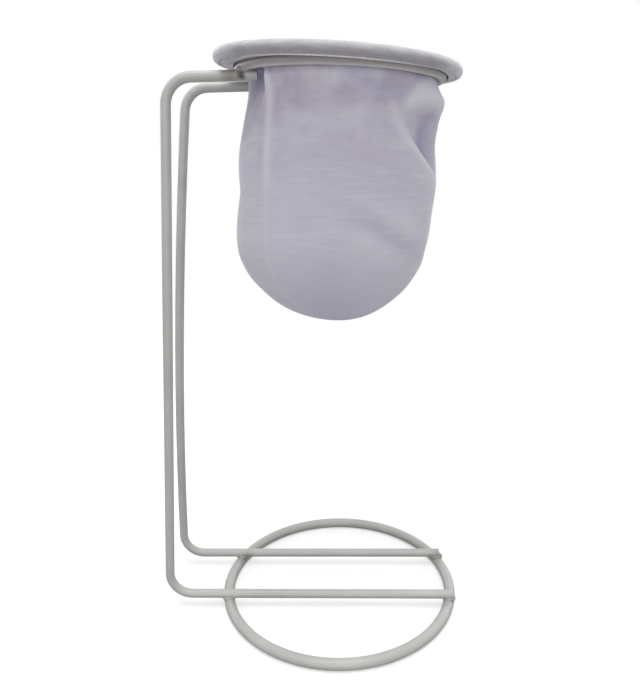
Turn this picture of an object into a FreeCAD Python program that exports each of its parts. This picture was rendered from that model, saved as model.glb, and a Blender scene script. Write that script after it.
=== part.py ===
import FreeCAD, Part
import math
import os

import Sketcher

# Pour over dripper stand: two bent wires welded to a round foot and to an upper ring,
# with a cloth filter hung in the upper ring.
# Origin at the centre of the foot ring on the floor, +X away from the uprights to the free
# side, +Y to the rear frame, +Z up. Millimetres and degrees.

Vector = FreeCAD.Vector
X_AXIS = Vector(1, 0, 0)
Y_AXIS = Vector(0, 1, 0)

doc = FreeCAD.newDocument("dripper_stand")

# Driving dimensions
DIMENSIONS = {
    # round foot
    "foot_ring_diameter": 87.5,
    "foot_wire": 4.0,
    # bent frame wires
    "frame_wire": 3.3,
    "bend_radius": 8.3,
    "arm_height": 189.7,
    "frame_lean": 0.34,
    "front_plane": -11.8,
    "front_foot_x": -65.1,
    "front_head_x": -49.7,
    "rear_plane": 14.9,
    "rear_foot_x": -65.9,
    "rear_head_x": -49.8,
    "rear_bow": 2.3,
    "rail_set_down": 0.2,
    "rail_overrun": 1.0,
    "arm_overrun": 4.1,
    # upper ring
    "top_ring_diameter": 63.9,
    "top_ring_x": 3.3,
    "top_ring_y": 0.5,
    "top_ring_set_down": 0.5,
    "top_ring_tilt": 3.6,
    # weld fillets
    "weld_length": 5.0,
    "weld_width": 4.4,
    "weld_height": 3.0,
    # hoop in the filter's hem
    "hoop_overhang": 5.75,
    "hoop_wire": 1.6,
    "hoop_rise": 2.3,
    "hoop_shift": -0.9,
    "hoop_tilt": 4.9,
    "hoop_roll": 1.35,
    # cloth
    "cloth": 0.7,
    "hem_play": 0.1,
    "hem_tail": 2.6,
    "seat_gap": 0.3,
    "bag_drop": 80.3,
    "bag_swell": 5.6,
    "bag_bottom_height": 32.1,
    "bag_wedge": 0.45,
    "bag_drift": -4.0,
    "bag_low_shift": 0.85,
    "bag_tip_shift": 1.9,
    "fold_depth": 2.6,
    "tip_gap": 0.9,
}

sheet = doc.addObject("Spreadsheet::Sheet", "dims")
for row, (alias, value) in enumerate(DIMENSIONS.items(), start=1):
    sheet.set(f"A{row}", alias)
    sheet.set(f"B{row}", str(value))
    sheet.setAlias(f"B{row}", alias)
doc.recompute()


def size(alias):
    """A driving dimension as it stands in the sheet."""
    return float(getattr(sheet, alias))


# Places that several pieces share, as expressions on the sheet
RAIL_Z = "dims.foot_wire + dims.frame_wire / 2 - dims.rail_set_down"
FOOT_RADIUS = "dims.foot_ring_diameter / 2"
TOP_RADIUS = "dims.top_ring_diameter / 2"


def plane_at_arms(plane):
    """Y of a frame's wire at the height of its arm, where the frame leans forward."""
    return f"(dims.{plane} - dims.arm_height * sin(dims.frame_lean))"


def foot_crossing(plane):
    """X, right of the centre, where a rail crosses the foot ring."""
    return f"sqrt(pow({FOOT_RADIUS}; 2) - pow(dims.{plane}; 2))"


def arm_crossing(plane):
    """X where an arm crosses under the upper ring."""
    across = f"({plane_at_arms(plane)} - dims.top_ring_y)"
    return f"(dims.top_ring_x - sqrt(pow({TOP_RADIUS}; 2) - pow({across}; 2)))"


# The upper ring's plane falls to the right: it touches the arms at its left side
ARM_REACH = f"(dims.top_ring_x - {arm_crossing('front_plane')})"
TOP_RING_Z = (
    "dims.arm_height + dims.frame_wire - dims.top_ring_set_down"
    f" - {ARM_REACH} * tan(dims.top_ring_tilt)"
)


def value_of(expression):
    """The number that an expression on the sheet comes to."""
    return float(sheet.evalExpression(expression))


def label_as(obj, name):
    obj.Label = name
    return obj


# Rings


def ring(name, radius, wire, centre, tilt="0", roll="0"):
    """A closed ring of round wire, tilted about Y, then rolled about X."""
    torus = doc.addObject("Part::Torus", name)
    torus.setExpression("Radius1", radius)
    torus.setExpression("Radius2", f"({wire}) / 2")
    turn = f"rotation({value_axis(Y_AXIS)}; {tilt}) * rotation({value_axis(X_AXIS)}; {roll})"
    place = "; ".join(centre)
    torus.setExpression("Placement", f"placement(vector({place}); {turn})")
    return label_as(torus, name)


def value_axis(axis):
    return f"vector({axis.x}; {axis.y}; {axis.z})"


base_ring = ring("base_ring", FOOT_RADIUS, "dims.foot_wire", ("0", "0", "dims.foot_wire / 2"))
top_ring = ring(
    "top_ring",
    TOP_RADIUS,
    "dims.frame_wire",
    ("dims.top_ring_x", "dims.top_ring_y", TOP_RING_Z),
    tilt="dims.top_ring_tilt",
)


# Bent frame wires


def origin_plane(body, role):
    return next(f for f in body.Origin.OriginFeatures if f.Role == role)


def on_plane(sketch, body, role):
    sketch.AttachmentSupport = [(origin_plane(body, role), "")]
    sketch.MapMode = "FlatFace"


def constrain(sketch, name, expression, *constraint):
    """Add a dimension to a sketch and bind it to the sheet."""
    index = sketch.addConstraint(Sketcher.Constraint(*constraint, value_of(expression)))
    sketch.renameConstraint(index, name)
    sketch.setExpression(f"Constraints.{name}", expression)


def place_point(sketch, name, geometry, end, across, up):
    constrain(sketch, name + "_x", across, "DistanceX", geometry, end)
    constrain(sketch, name + "_z", up, "DistanceY", geometry, end)


def upright_curve(foot, head, bow):
    """The upright between its two bends: straight, or an arc bowed outward."""
    along = (head - foot).normalize()
    low = foot + along * size("bend_radius")
    high = head - along * size("bend_radius")
    if not bow:
        return Part.LineSegment(low, high)
    outward = Vector(-along.y, along.x, 0)
    middle = (foot + head) / 2 + outward * value_of(bow)
    return Part.Arc(high, middle, low)


def frame_path(body, name, rail_end, arm_end, foot_x, head_x, bow):
    """Centreline of a frame: rail, lower bend, upright, upper bend, arm."""
    path = body.newObject("Sketcher::SketchObject", name + "_path")
    on_plane(path, body, "XZ_Plane")
    rail_z = value_of(RAIL_Z)
    arm_z = size("arm_height")
    radius = size("bend_radius")
    foot = Vector(value_of(foot_x), rail_z, 0)
    head = Vector(value_of(head_x), arm_z, 0)
    lean = math.atan2(head.y - foot.y, head.x - foot.x) + math.pi / 2
    low_centre = foot + Vector(radius, radius, 0)
    high_centre = head + Vector(radius, -radius, 0)
    normal = Vector(0, 0, 1)

    def bend(centre, start, end):
        return Part.ArcOfCircle(Part.Circle(centre, normal, radius), start, end)

    rail_tip = Vector(value_of(rail_end), rail_z, 0)
    arm_tip = Vector(value_of(arm_end), arm_z, 0)
    rail = path.addGeometry(Part.LineSegment(rail_tip, foot + Vector(radius, 0, 0)))
    low_bend = path.addGeometry(bend(low_centre, lean, math.pi * 3 / 2))
    upright = path.addGeometry(upright_curve(foot, head, bow))
    high_bend = path.addGeometry(bend(high_centre, math.pi / 2, lean))
    arm = path.addGeometry(Part.LineSegment(head + Vector(radius, 0, 0), arm_tip))
    foot_point = path.addGeometry(Part.Point(foot), True)
    head_point = path.addGeometry(Part.Point(head), True)

    start, end = 1, 2
    low_end, high_end = (end, start) if bow else (start, end)
    path.addConstraint(Sketcher.Constraint("Horizontal", rail))
    path.addConstraint(Sketcher.Constraint("Horizontal", arm))
    path.addConstraint(Sketcher.Constraint("Tangent", rail, end, low_bend, end))
    path.addConstraint(Sketcher.Constraint("Tangent", low_bend, start, upright, low_end))
    path.addConstraint(Sketcher.Constraint("Tangent", upright, high_end, high_bend, end))
    path.addConstraint(Sketcher.Constraint("Tangent", high_bend, start, arm, start))
    path.addConstraint(Sketcher.Constraint("PointOnObject", foot_point, start, upright))
    path.addConstraint(Sketcher.Constraint("PointOnObject", head_point, start, upright))
    constrain(path, "low_bend", "dims.bend_radius", "Radius", low_bend)
    constrain(path, "high_bend", "dims.bend_radius", "Radius", high_bend)
    place_point(path, "rail_tip", rail, start, rail_end, RAIL_Z)
    place_point(path, "arm_tip", arm, end, arm_end, "dims.arm_height")
    place_point(path, "foot", foot_point, start, foot_x, RAIL_Z)
    place_point(path, "head", head_point, start, head_x, "dims.arm_height")
    if bow:
        # the upright bows by this much from the straight line between foot and head
        middle = path.addGeometry(Part.Point((foot + head) / 2), True)
        path.addConstraint(Sketcher.Constraint("PointOnObject", middle, start, upright))
        rise = f"(dims.arm_height - ({RAIL_Z}))"
        chord = f"sqrt(pow({rise}; 2) + pow({head_x} - {foot_x}; 2))"
        middle_x = f"({head_x} + {foot_x}) / 2 - {bow} * {rise} / {chord}"
        middle_z = f"(dims.arm_height + ({RAIL_Z})) / 2 + {bow} * ({head_x} - {foot_x}) / {chord}"
        place_point(path, "middle", middle, start, middle_x, middle_z)
    return path


def wire_section(body, name, rail_end):
    """Round section of the wire, at the free end of the rail."""
    section = body.newObject("Sketcher::SketchObject", name + "_section")
    on_plane(section, body, "YZ_Plane")
    section.setExpression("AttachmentOffset.Base.z", rail_end)
    centre = Vector(0, value_of(RAIL_Z), 0)
    circle = section.addGeometry(
        Part.Circle(centre, Vector(0, 0, 1), size("frame_wire") / 2)
    )
    constrain(section, "wire_radius", "dims.frame_wire / 2", "Radius", circle)
    centre_mark = 3
    vertical_axis = -2
    section.addConstraint(
        Sketcher.Constraint("PointOnObject", circle, centre_mark, vertical_axis)
    )
    constrain(section, "centre_z", RAIL_Z, "DistanceY", circle, centre_mark)
    return section


def bent_wire(name, plane, foot_x, head_x, bow=None):
    """One frame bent from a single wire, before it is pressed onto the two rings."""
    rail_end = f"{foot_crossing(plane)} + dims.rail_overrun"
    arm_end = f"{arm_crossing(plane)} + dims.arm_overrun"
    body = label_as(doc.addObject("PartDesign::Body", name), name)
    path = frame_path(body, name, rail_end, arm_end, foot_x, head_x, bow)
    section = wire_section(body, name, rail_end)
    doc.recompute()
    pipe = body.newObject("PartDesign::AdditivePipe", name + "_pipe")
    pipe.Profile = section
    pipe.Spine = (path, [f"Edge{i + 1}" for i in range(len(path.Shape.Edges))])
    body.Tip = pipe
    turn = f"rotation({value_axis(X_AXIS)}; dims.frame_lean)"
    body.setExpression("Placement", f"placement(vector(0; dims.{plane}; 0); {turn})")
    return body


def cut(name, base, tools):
    """A solid with every tool taken out of it, one after the other."""
    for number, tool in enumerate(tools, start=1):
        taken = doc.addObject("Part::Cut", f"{name}_{number}")
        taken.Base = base
        taken.Tool = tool
        base = taken
    return label_as(base, name)


front_wire = bent_wire("front_wire", "front_plane", "dims.front_foot_x", "dims.front_head_x")
rear_wire = bent_wire(
    "rear_wire", "rear_plane", "dims.rear_foot_x", "dims.rear_head_x", "dims.rear_bow"
)
# Each frame is pressed a little into the two rings where they were squeezed and welded
front_frame = cut("front_frame", front_wire, [base_ring, top_ring])
rear_frame = cut("rear_frame", rear_wire, [base_ring, top_ring])


# Weld fillets in the corners of each crossing


def weld_lump(name, centre):
    lump = doc.addObject("Part::Ellipsoid", name)
    lump.setExpression("Radius1", "dims.weld_height / 2")
    lump.setExpression("Radius2", "dims.weld_length / 2")
    lump.setExpression("Radius3", "dims.weld_width / 2")
    place = "; ".join(centre)
    lump.setExpression("Placement", f"placement(vector({place}); rotation(0; 0; 0))")
    return lump


def welds(name, lumps, wires):
    """The metal of the lumps that lies in the corners outside the wires."""
    group = doc.addObject("Part::MultiFuse", name + "_lumps")
    group.Shapes = lumps
    return cut(name, group, wires)


FOOT_WELD_Z = "dims.foot_wire - dims.rail_set_down / 2"
TOP_WELD_Z = "dims.arm_height + dims.frame_wire / 2 - dims.top_ring_set_down / 2"
foot_lumps = []
top_lumps = []
for plane in ("front_plane", "rear_plane"):
    crossing = foot_crossing(plane)
    for side, sign in (("left", "-"), ("right", "")):
        place = (f"{sign}({crossing})", f"dims.{plane}", FOOT_WELD_Z)
        foot_lumps.append(weld_lump(f"foot_lump_{plane}_{side}", place))
    place = (arm_crossing(plane), plane_at_arms(plane), TOP_WELD_Z)
    top_lumps.append(weld_lump(f"top_lump_{plane}", place))
base_welds = welds("base_welds", foot_lumps, [base_ring, front_frame, rear_frame])
top_welds = welds("top_welds", top_lumps, [top_ring, front_frame, rear_frame])


# Cloth filter: a hoop in a hem, the hem's collar over the upper ring, and the bag

HOOP_CENTRE = (
    "dims.top_ring_x + dims.hoop_shift",
    "dims.top_ring_y",
    f"{TOP_RING_Z} + dims.hoop_rise",
)
HOOP_TURN = {"tilt": "dims.hoop_tilt", "roll": "dims.hoop_roll"}
HOOP_RADIUS = f"({TOP_RADIUS} + dims.hoop_overhang)"
filter_hoop = ring("filter_hoop", HOOP_RADIUS, "dims.hoop_wire", HOOP_CENTRE, **HOOP_TURN)
doc.recompute()

RING_CENTRE = Vector(size("top_ring_x"), size("top_ring_y"), value_of(TOP_RING_Z))
RING_SLOPE = -math.tan(math.radians(size("top_ring_tilt")))
HALF_WIRE = size("frame_wire") / 2
MOUTH_RADIUS = size("top_ring_diameter") / 2 - HALF_WIRE - size("seat_gap")
WIDEST_RADIUS = MOUTH_RADIUS + size("bag_swell") / 2
POINTS_AROUND = 84
# How the hem's turned-in edge falls, and how far above it the collar runs, in hem plays
TAIL_SLOPE = 0.35
NECK_ABOVE = 2.5


def wrap(angle):
    """An angle brought between -180 and 180 degrees."""
    return (angle + 180) % 360 - 180


def bump(distance, reach):
    """A rounded ridge of height 1 that is gone past its reach."""
    return math.exp(-((distance / reach) ** 2))


def step(value, edge, soft):
    """From 0 to 1 as a value passes an edge."""
    return 1 / (1 + math.exp(-(value - edge) / soft))


# Soft folds of the slack cloth, one a row: how far it stands out as a share of
# fold_depth, its angle at the ring (0 the free side, -90 the front), the angle that it
# turns over the whole drop, its half width in degrees, and its middle and half length
# as shares of the drop.
SOFT_FOLDS = (
    (0.95, -8, 0, 26, 0.10, 0.055),
    (-0.26, 0, 0, 30, 0.27, 0.07),
    (0.20, 0, 0, 34, 0.44, 0.09),
    (0.38, 0, 0, 30, 0.775, 0.07),
    (-0.45, 180, 0, 42, 0.08, 0.10),
    (-0.25, 180, 0, 26, 0.44, 0.10),
    (-0.55, 62, 40, 10, 0.20, 0.16),
    (0.35, 100, 25, 12, 0.25, 0.20),
    (-0.45, 128, -30, 9, 0.28, 0.18),
    (-1.00, -68, 0, 17, 0.075, 0.055),
)
# The pleat: the angle of its edge at the ring and the angle it turns over the whole drop,
# the shares of the drop between which it runs and over which it starts and ends, then how
# deep, how far behind the edge and how wide its pocket is, and the roll along its edge
PLEAT_ANGLE = -82
PLEAT_TURN = 140
PLEAT_TOP = 0.145
PLEAT_END = 0.40
PLEAT_START_LENGTH = 0.018
PLEAT_END_LENGTH = 0.025
POCKET_DEPTH = 1.5
POCKET_EDGE = 2.5
POCKET_EDGE_SOFT = 1.5
POCKET_MIDDLE = 4.5
POCKET_WIDTH = 13
POCKET_TAPER = 18
ROLL_OUT = 0.45
ROLL_AHEAD = 5
ROLL_WIDTH = 7
# The lobe of gathered cloth above the pleat: its edge turns back the other way
LOBE_TURN = -200
LOBE_OUT = 0.60
LOBE_DOWN = 0.095
LOBE_LENGTH = 0.055
LOBE_EDGE = 3
LOBE_EDGE_SOFT = 2.2
LOBE_MIDDLE = 12
LOBE_WIDTH = 24
# A shallow crease low on the front, which falls towards the free side, below a swelling
CREASE_ANGLE = -58
CREASE_WIDTH = 30
CREASE_DOWN = 0.615
CREASE_FALL = 0.0016
CREASE_REACH = 0.035
CREASE_DEPTH = 0.40
SWELLING = 0.75
# The sewn side, a narrow ridge below the front arm's tip
SEAM_ANGLE = -131
SEAM_WIDTH = 6
SEAM_OUT = 0.40
SEAM_TOP = 0.02
SEAM_END = 0.42


def pleat(angle, down):
    """The pleat: a pocket behind an edge that runs from the ring at the front to the side."""
    behind = wrap(angle - PLEAT_ANGLE - PLEAT_TURN * down)
    run = step(down, PLEAT_TOP, PLEAT_START_LENGTH) * step(-down, -PLEAT_END, PLEAT_END_LENGTH)
    width = POCKET_WIDTH - POCKET_TAPER * (down - PLEAT_TOP)
    pocket = POCKET_DEPTH * step(behind, POCKET_EDGE, POCKET_EDGE_SOFT)
    pocket *= bump(behind - POCKET_MIDDLE, width)
    return run * (ROLL_OUT * bump(behind + ROLL_AHEAD, ROLL_WIDTH) - pocket)


def lobe(angle, down):
    """The gathered slack that bulges over the front above the pleat."""
    edge = PLEAT_ANGLE + PLEAT_TURN * PLEAT_TOP + LOBE_TURN * (down - PLEAT_TOP)
    beside = wrap(angle - edge)
    across = step(beside, LOBE_EDGE, LOBE_EDGE_SOFT) * bump(beside - LOBE_MIDDLE, LOBE_WIDTH)
    return LOBE_OUT * across * bump(down - LOBE_DOWN, LOBE_LENGTH)


def crease(angle, down):
    """A shallow valley below a low swelling."""
    off = wrap(angle - CREASE_ANGLE)
    below = down - CREASE_DOWN - CREASE_FALL * off
    swelling = SWELLING * bump(below + CREASE_REACH, CREASE_REACH)
    return CREASE_DEPTH * (swelling - bump(below, CREASE_REACH)) * bump(off, CREASE_WIDTH)


def side_seam(angle, down):
    """The ridge of the sewn side."""
    run = step(-down, -SEAM_END, 0.05) * step(down, SEAM_TOP, 0.01)
    return SEAM_OUT * run * bump(wrap(angle - SEAM_ANGLE), SEAM_WIDTH)


def folds(angle, down):
    """How far the cloth stands out at an angle, a share of the way down the bag."""
    out = pleat(angle, down) + lobe(angle, down) + crease(angle, down) + side_seam(angle, down)
    for share, at_ring, turn, width, middle, reach in SOFT_FOLDS:
        across = wrap(angle - at_ring - turn * down)
        out += share * bump(across, width) * bump(down - middle, reach)
    return size("fold_depth") * out


# How the bag's outline runs: where it opens below the ring, how round its bottom is,
# how it thins front to back, and where it leans to the frame side
OPENS_AT = 0.16
OPENS_OVER = 0.06
BOTTOM_POWER = 1.95
WEDGE_POWER = 1.6
TILT_END = 0.25
DRIFT_END = 0.7
DRIFT_POWER = 1.3
LOW_SHIFT_AT = 0.83
LOW_SHIFT_OVER = 0.015
TIP_SHIFT_FROM = 0.88
TIP_SHIFT_POWER = 3


def bag_outline(down, inset):
    """Centre, half width and half depth of the bag, a share of the way down."""
    drop = size("bag_drop") - inset
    rounding = size("bag_bottom_height") - inset
    level = max(0.0, (down * drop - (drop - rounding)) / rounding)
    crown = math.sqrt(max(0.0, 1 - level**BOTTOM_POWER))
    mouth = MOUTH_RADIUS - inset
    widest = WIDEST_RADIUS - inset
    opened = mouth + (widest - mouth) * step(down, OPENS_AT, OPENS_OVER)
    half_depth = mouth * (1 - size("bag_wedge") * down**WEDGE_POWER) * crown
    tip = max(0.0, down - TIP_SHIFT_FROM) / (1 - TIP_SHIFT_FROM)
    centre = size("top_ring_x") + size("bag_drift") * min(1.0, down / DRIFT_END) ** DRIFT_POWER
    centre += size("bag_low_shift") * step(down, LOW_SHIFT_AT, LOW_SHIFT_OVER)
    centre += size("bag_tip_shift") * tip**TIP_SHIFT_POWER
    return centre, opened * crown, half_depth


def arm_tips():
    """Angle about the ring's centre and distance from it of each arm's inner corner."""
    tips = []
    for plane, side in (("front_plane", 1), ("rear_plane", -1)):
        tip_x = value_of(f"{arm_crossing(plane)} + dims.arm_overrun") - RING_CENTRE.x
        wire_y = value_of(plane_at_arms(plane)) - RING_CENTRE.y
        inner_y = wire_y + side * HALF_WIRE
        tips.append((math.degrees(math.atan2(wire_y, tip_x)), math.hypot(tip_x, inner_y)))
    return tips


ARM_TIPS = arm_tips()
ARM_BELOW_RING = RING_CENTRE.z + RING_SLOPE * (value_of(arm_crossing("front_plane")) - RING_CENTRE.x)
ARM_BELOW_RING -= size("arm_height")
# How the cloth gives way to an arm's tip: over which angle, then where this starts and
# ends below the ring's centreline and over which length, as shares of the arm's own depth
PRESS_ANGLE = 15
PRESS_TOP = 0.15
PRESS_TOP_LENGTH = 0.12
PRESS_END = 3.0
PRESS_END_LENGTH = 0.76


def press(angle, radius, below):
    """A radius brought inside the tips of the arms, where the cloth bears on them."""
    level = below / ARM_BELOW_RING
    share = step(level, PRESS_TOP, PRESS_TOP_LENGTH) * step(-level, -PRESS_END, PRESS_END_LENGTH)
    for tip_angle, tip_radius in ARM_TIPS:
        room = radius - (tip_radius - size("tip_gap"))
        near = math.exp(-((wrap(angle - tip_angle) / PRESS_ANGLE) ** 4))
        radius -= max(0.0, room) * near * share
    return radius


def collar_point(angle, around, thick):
    """A point of the collar, which follows the ring's wire from outside over to inside."""
    reach = HALF_WIRE + size("seat_gap") + thick
    radius = size("top_ring_diameter") / 2 + reach * math.cos(math.radians(around))
    above = reach * math.sin(math.radians(around))
    radius = press(angle, radius, -above) if around > 90 else radius
    return ring_plane_point(angle, radius, above)


def ring_plane_point(angle, radius, above):
    turn = math.radians(angle)
    across = radius * math.cos(turn)
    return RING_CENTRE + Vector(across, radius * math.sin(turn), RING_SLOPE * across + above)


def hoop_plane_point(angle, inward, above):
    """A point by its distance inside and above the hoop's centreline."""
    turn = math.radians(angle)
    radius = value_of(HOOP_RADIUS) - inward
    flat = Vector(radius * math.cos(turn), radius * math.sin(turn), above)
    return filter_hoop.Placement.multVec(flat)


def hem_point(angle, around, thick):
    """A point of the hem where it wraps the hoop, from below the hoop over its outside."""
    turn = math.radians(around)
    reach = size("hoop_wire") / 2 + size("hem_play") + thick
    return hoop_plane_point(angle, -reach * math.cos(turn), reach * math.sin(turn))


def tail_point(angle, inward, thick):
    """A point of the hem's turned-in edge, stitched up against the collar from below."""
    drop = TAIL_SLOPE * (inward - size("hoop_wire"))
    return hoop_plane_point(angle, inward, -size("hem_play") - drop - thick)


def neck_point(angle, thick):
    """A point of the collar beside the hoop, just above the hem's turned-in edge."""
    return hoop_plane_point(angle, size("hoop_wire"), NECK_ABOVE * size("hem_play") + thick)


def bag_point(angle, down, inset):
    """A point of the bag's outer face, or of its inner face when inset by the cloth."""
    centre, half_width, half_depth = bag_outline(down, inset)
    turn = math.radians(angle)
    tilted = max(0.0, 1 - down / TILT_END)
    slack = folds(angle, down) * half_width / WIDEST_RADIUS
    across = (half_width + slack) * math.cos(turn)
    depth = (half_depth + slack) * math.sin(turn)
    off_centre = centre - RING_CENTRE.x
    radius = math.hypot(across + off_centre, depth)
    seen = math.degrees(math.atan2(depth, across + off_centre))
    fall = down * (size("bag_drop") - inset)
    pressed = press(seen, radius, fall) / radius
    across = (across + off_centre) * pressed
    depth = depth * pressed
    rise = RING_SLOPE * across * tilted - fall
    return RING_CENTRE + Vector(across, depth, rise)


def closed_curve(points):
    """A smooth closed curve through points at even angles, in four stretches."""
    curve = Part.BSplineCurve()
    knots = [i / len(points) for i in range(len(points) + 1)]
    curve.interpolate(Points=points, PeriodicFlag=True, Parameters=knots)
    quarters = [curve.toShape(i / 4, (i + 1) / 4) for i in range(4)]
    return Part.Wire(quarters)


HEM_TURNS = (-125, -80, -35, 10, 55, 100, 140)
COLLAR_TURNS = (55, 85, 115, 145, 170)
BAG_LEVELS = (
    0.02, 0.045, 0.07, 0.095, 0.12, 0.15, 0.18, 0.215, 0.25, 0.29, 0.33, 0.37, 0.41, 0.46,
    0.51, 0.55, 0.59, 0.63, 0.67, 0.72, 0.77, 0.815, 0.86, 0.90, 0.935, 0.96, 0.98, 0.995,
)


def sheet_side(thick):
    """Closed curves round the hoop, over the ring and down the bag, for one face of the cloth.

    thick is 0 on the face towards the wires and the cloth's thickness on the other.
    """
    rows = [(tail_point, size("hem_tail")), (tail_point, size("hoop_wire"))]
    rows += [(hem_point, around) for around in HEM_TURNS]
    rows += [(lambda angle, _, thick: neck_point(angle, thick), 0)]
    rows += [(collar_point, around) for around in COLLAR_TURNS]
    rows += [(bag_point, down) for down in BAG_LEVELS]
    angles = [360 * i / POINTS_AROUND for i in range(POINTS_AROUND)]
    return [closed_curve([point(a, along, thick) for a in angles]) for point, along in rows]


def cloth_solid():
    """The cloth as one closed skin: two faces, the edge in the hem and the bottom."""
    outer = sheet_side(0)
    inner = sheet_side(size("cloth"))
    faces = Part.makeLoft(outer, False, False).Faces
    faces += Part.makeLoft(inner, False, False).Faces
    faces += Part.makeLoft([outer[0], inner[0]], False, True).Faces
    faces += [Part.Face(outer[-1]), Part.Face(inner[-1])]
    skin = Part.makeShell(faces)
    skin.sewShape()
    solid = Part.makeSolid(skin)
    if solid.Volume < 0:
        solid.reverse()
    return solid


filter_bag = label_as(doc.addObject("Part::Feature", "filter_bag"), "filter_bag")
filter_bag.Shape = cloth_solid()
filter_bag.Placement = FreeCAD.Placement()

# Build, check and write
SUB_PARTS = [
    base_ring,
    front_frame,
    rear_frame,
    top_ring,
    base_welds,
    top_welds,
    filter_hoop,
    filter_bag,
]
doc.recompute()

for obj in doc.Objects:
    if "Invalid" in obj.State or "Error" in obj.State:
        raise RuntimeError(f"{obj.Label} failed: {obj.State}")

for wire in (front_wire, rear_wire):
    length = sum(edge.Length for edge in wire.Group[0].Shape.Edges)
    expected = math.pi * HALF_WIRE**2 * length
    if abs(wire.Shape.Volume - expected) > expected * 0.01:
        raise RuntimeError(f"{wire.Label} doesn't fill its path")

os.makedirs("parts", exist_ok=True)
for sub_part in SUB_PARTS:
    shape = sub_part.Shape
    if shape.isNull() or not shape.isValid():
        raise RuntimeError(f"{sub_part.Label} has no valid shape")
    shape.exportStep(f"parts/{sub_part.Label}.step")
    box = shape.BoundBox
    print(
        f"{sub_part.Label}: {len(shape.Solids)} solid(s), {shape.Volume:.1f} mm3,"
        f" x {box.XMin:.1f} to {box.XMax:.1f}, y {box.YMin:.1f} to {box.YMax:.1f},"
        f" z {box.ZMin:.1f} to {box.ZMax:.1f}"
    )
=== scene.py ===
import math

import bpy
import numpy as np
from mathutils import Matrix, Vector


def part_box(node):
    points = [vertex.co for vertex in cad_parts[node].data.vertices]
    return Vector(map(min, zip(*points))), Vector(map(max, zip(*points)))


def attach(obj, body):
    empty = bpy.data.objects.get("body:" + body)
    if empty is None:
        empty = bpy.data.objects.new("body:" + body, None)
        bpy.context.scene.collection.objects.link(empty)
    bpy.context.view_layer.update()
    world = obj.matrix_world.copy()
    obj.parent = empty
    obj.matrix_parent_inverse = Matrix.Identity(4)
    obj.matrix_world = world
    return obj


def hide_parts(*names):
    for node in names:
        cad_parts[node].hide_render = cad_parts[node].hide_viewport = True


# Pour over dripper stand: white painted wires, and a cloth filter hung in the upper ring.
# Lengths below are millimetres and angles degrees, until MM brings them to metres.

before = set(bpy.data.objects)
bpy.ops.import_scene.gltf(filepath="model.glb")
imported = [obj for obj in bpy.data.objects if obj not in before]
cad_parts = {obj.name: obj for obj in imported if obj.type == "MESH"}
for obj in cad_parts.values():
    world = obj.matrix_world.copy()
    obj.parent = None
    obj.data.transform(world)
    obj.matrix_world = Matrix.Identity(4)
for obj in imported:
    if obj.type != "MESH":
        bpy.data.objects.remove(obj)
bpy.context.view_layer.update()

MM = 0.001


def box_in_mm(node):
    """Lowest and highest corner of a CAD node."""
    return [np.array(corner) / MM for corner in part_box(node)]


def bump(distance, reach):
    """A rounded ridge of height 1 that is gone past its reach."""
    return np.exp(-((distance / reach) ** 2))


def step(value, edge, soft):
    """From 0 to 1 as a value passes an edge."""
    return 1 / (1 + np.exp(-np.clip((value - edge) / soft, -60, 60)))


def wrap(angle):
    """An angle brought between -180 and 180 degrees."""
    return (angle + 180) % 360 - 180


# Camera


def make_camera():
    """The camera's place in millimetres and its turn in radians."""
    place = Vector((3.632, -216.193, 162.221)) * MM
    yaw, pitch, roll = -0.04131, 0.28254, -0.02384
    focal_pixels = 625.725
    image_height = 700
    sensor = 36
    forward = Vector(
        (math.sin(yaw) * math.cos(pitch), math.cos(yaw) * math.cos(pitch), -math.sin(pitch))
    )
    level = Vector((math.cos(yaw), -math.sin(yaw), 0))
    above = level.cross(forward)
    right = math.cos(roll) * level + math.sin(roll) * above
    up = -math.sin(roll) * level + math.cos(roll) * above
    camera = bpy.data.objects.new("camera", bpy.data.cameras.new("camera"))
    turn = Matrix((right, up, -forward)).transposed().to_4x4()
    camera.matrix_world = Matrix.Translation(place) @ turn
    camera.data.lens = focal_pixels * sensor / image_height
    camera.data.sensor_width = sensor
    camera.data.clip_start = 0.01
    bpy.context.collection.objects.link(camera)
    bpy.context.scene.camera = camera


make_camera()


# Cloth filter: the hem round the hoop, the collar over the upper ring, and the bag

WIRE = 3.3
CLOTH = 0.7
HOOP_WIRE = 1.6
HOOP_TILT = 4.9
HOOP_ROLL = 1.35
RING_TILT = 3.6
SEAT_GAP = 0.3
# Angles about the upper ring's centre: 0 the free side, -90 the front
FRONT = -90
# The hem's play and puff, and the angles round the hoop's wire that it covers
HEM_PLAY = 0.1
HEM_PUFF = 0.5
HEM_START = -125
HEM_END = 130
WRAP_STEP = 15
NECK_ABOVE = 2.5
# The hem's turned-in edge, drawn in from below the hoop to the outside of the upper ring,
# where it ends lower at the free side
TAIL_SHARES = (1.0, 0.7, 0.35)
TAIL_REACH = 2.4
TAIL_TURN = 36
TAIL_LOWER = 34
TAIL_LOWER_WIDTH = 40
TAIL_SAG = 0.25
# The angles round the upper ring's wire that the collar covers, from outside to inside
COLLAR_START = 55
COLLAR_END = 160
COLLAR_TOP = 90
ring_low, ring_high = box_in_mm("top_ring")
hoop_low, hoop_high = box_in_mm("filter_hoop")
RING_CENTRE = (ring_low + ring_high) / 2
HOOP_CENTRE = (hoop_low + hoop_high) / 2
RING_DIAMETER = (ring_high - ring_low)[1] - WIRE
RING_SLOPE = -math.tan(math.radians(RING_TILT))
HOOP_DIAMETER = 75.4
HOOP_TURN = np.array(
    Matrix.Rotation(math.radians(HOOP_TILT), 3, "Y")
    @ Matrix.Rotation(math.radians(HOOP_ROLL), 3, "X")
)
# Each arm's tip under the upper ring: angle about the ring's centre, and distance from it
ARM_TIPS = ((-155.8, 26.2), (154.5, 25.3))
ARM_BELOW_RING = 2.9
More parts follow.
